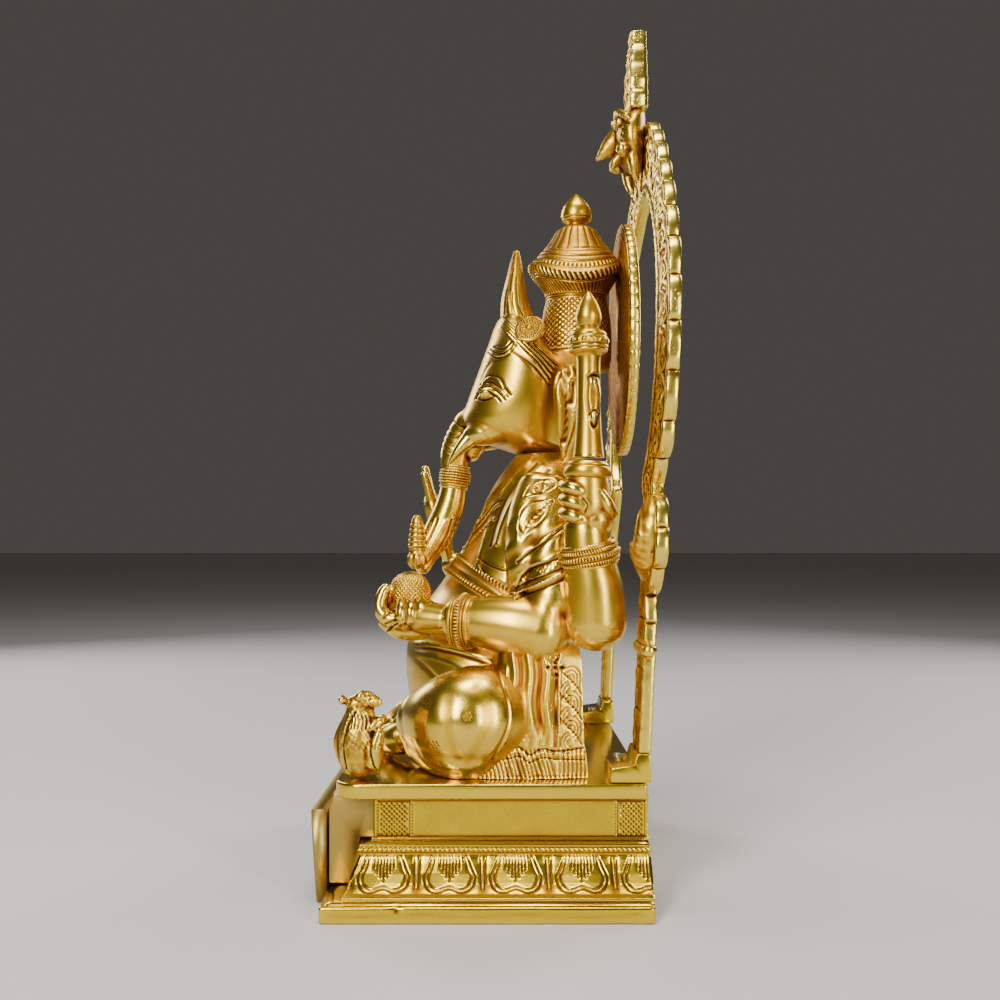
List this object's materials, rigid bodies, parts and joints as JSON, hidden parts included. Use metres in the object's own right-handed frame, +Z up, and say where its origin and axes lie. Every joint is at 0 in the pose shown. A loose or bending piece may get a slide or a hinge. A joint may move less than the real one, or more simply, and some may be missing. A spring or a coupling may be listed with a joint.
{
  "type": "seated ganesha statue with arch and lotus throne",
  "caption": "Cast brass seated elephant-headed deity with mouse on a stepped lotus throne, under a leaning scalloped arch with halo and guardian face.",
  "frame": {"origin": "centre of the footprint on the table, at the underside", "axes": "+Z up, the figure faces -Y, +X is the figure's left"},
  "size_m": [0.292, 0.1951, 0.504],
  "materials": {
    "figure_brass": "satin polished cast brass, rubbed bright on the crowns, brown in the folds",
    "relief_brass": "chased cast relief, bright ridges over orange-brown recesses with casting pits",
    "throne_brass": "filed and polished flat brass, fine file lines, engraved petals and beads",
    "dull_brass": "unpolished brown cast brass",
    "screw_steel": "zinc-plated cap screws"
  },
  "bodies": {
    "root": {"arch_foot_left": "throne_brass", "arch_foot_right": "throne_brass", "arch_frame": "relief_brass", "arch_pinnacle": "relief_brass", "arch_screw_left": "screw_steel", "arch_screw_right": "screw_steel", "base_slab": "throne_brass", "bead_moulding": "throne_brass", "belt": "relief_brass", "crest_leaf": "relief_brass", "crown_dome": "relief_brass", "crown_drum": "relief_brass", "crown_finial": "figure_brass", "deck_plate": "throne_brass", "ear_left": "relief_brass", "ear_right": "relief_brass", "figure_screw": "screw_steel", "front_bay": "dull_brass", "front_left_arm": "figure_brass", "front_left_bangle": "throne_brass", "front_left_hand": "figure_brass", "front_right_arm": "figure_brass", "front_right_bangle": "throne_brass", "front_right_hand": "figure_brass", "front_step": "dull_brass", "halo_plate": "relief_brass", "head": "figure_brass", "left_cloth_fan": "relief_brass", "left_foot": "figure_brass", "left_leg": "figure_brass", "lion_face": "relief_brass", "lotus_skirt": "throne_brass", "makara_left": "relief_brass", "makara_right": "relief_brass", "mouse": "relief_brass", "rear_left_arm": "figure_brass", "rear_left_armlet": "throne_brass", "rear_left_bangle": "throne_brass", "rear_left_hand": "figure_brass", "rear_right_arm": "figure_brass", "rear_right_armlet": "throne_brass", "rear_right_bangle": "throne_brass", "rear_right_hand": "figure_brass", "right_cloth_fan": "relief_brass", "right_foot": "figure_brass", "right_leg": "figure_brass", "rosette_left": "relief_brass", "rosette_right": "relief_brass", "staff_left": "figure_brass", "staff_right": "figure_brass", "sweet": "figure_brass", "throne_neck": "throne_brass", "torso": "figure_brass", "trunk": "figure_brass", "trunk_band": "throne_brass", "trunk_bud": "figure_brass", "tusk_left": "figure_brass", "tusk_right": "figure_brass"}
  },
  "joints": []
}
